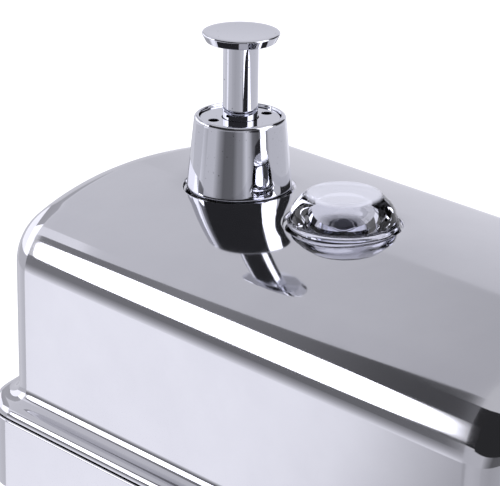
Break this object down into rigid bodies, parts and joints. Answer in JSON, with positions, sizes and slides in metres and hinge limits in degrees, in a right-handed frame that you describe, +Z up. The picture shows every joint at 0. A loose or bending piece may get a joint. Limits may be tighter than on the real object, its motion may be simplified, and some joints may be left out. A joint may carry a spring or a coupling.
{
  "type": "wall mounted soap dispenser",
  "caption": "Wall mounted polished steel liquid soap dispenser with a bowed front, push pump, round sight window and a hinged filler lid with a cam lock.",
  "frame": {"origin": "on the wall, at the middle of the wall bracket's back face", "axes": "+Z up, -Y out of the wall into the room, +X to the right of someone who faces the wall"},
  "size_m": [0.13, 0.1301, 0.2241],
  "materials": {
    "polished_steel": "mirror polished stainless steel",
    "mill_steel": "plain mill finish stainless steel",
    "chrome_plate": "bright chrome plate on zinc or brass",
    "lock_brass": "turned brass, satin",
    "clear_acrylic": "clear moulded acrylic, glossy",
    "seal_rubber": "black nitrile rubber, matte",
    "pump_plastic": "white acetal, satin",
    "clear_hose": "clear flexible hose, slightly milky"
  },
  "bodies": {
    "tank": {"front_shell": "polished_steel", "rear_shell": "polished_steel", "back_plate": "mill_steel", "hanger_rail": "mill_steel", "wall_bracket": "mill_steel", "fixing_screw": "mill_steel", "pump_collar": "chrome_plate", "outlet_bush": "chrome_plate", "gland_plug": "chrome_plate", "stem_seal": "seal_rubber", "collar_gasket": "seal_rubber", "pump_washer": "seal_rubber", "pump_nut": "chrome_plate", "pump_cylinder": "pump_plastic", "inlet_cap": "pump_plastic", "suction_tube": "clear_hose", "return_spring": "mill_steel", "window_lens": "clear_acrylic", "window_gasket": "seal_rubber", "window_nut": "chrome_plate", "hinge_leaf": "polished_steel", "hinge_pin": "mill_steel"},
    "plunger": {"push_button": "chrome_plate", "plunger_stem": "chrome_plate", "piston": "pump_plastic", "piston_seal": "seal_rubber"},
    "outlet_valve": {"outlet_ball": "mill_steel"},
    "inlet_valve": {"inlet_ball": "mill_steel"},
    "lid": {"filler_lid": "polished_steel", "lid_seal": "seal_rubber", "lock_body": "chrome_plate", "lock_nut": "mill_steel"},
    "lock": {"lock_plug": "lock_brass", "lock_cam": "mill_steel", "cam_screw": "mill_steel"}
  },
  "joints": [
    {"name": "button_press", "type": "slide", "parent": "tank", "child": "plunger", "axis": [0, 1, 0], "range_m": [0, 0.02], "stiffness_N_per_m": 250, "springref_m": -0.012, "deforming": ["return_spring"]},
    {"name": "outlet_ball_lift", "type": "slide", "parent": "plunger", "child": "outlet_valve", "axis": [0, -1, 0], "range_m": [0, 0.0006]},
    {"name": "inlet_ball_lift", "type": "slide", "parent": "tank", "child": "inlet_valve", "axis": [0, -1, 0], "range_m": [0, 0.0008]},
    {"name": "lid_hinge", "type": "hinge", "parent": "tank", "child": "lid", "pos_m": [0, -0.033, 0.1059], "axis": [-1, 0, 0], "range_deg": [0, 100]},
    {"name": "lock_turn", "type": "hinge", "parent": "lid", "child": "lock", "pos_m": [0, -0.058, 0.103], "axis": [0, 0, -1], "range_deg": [0, 90]}
  ]
}
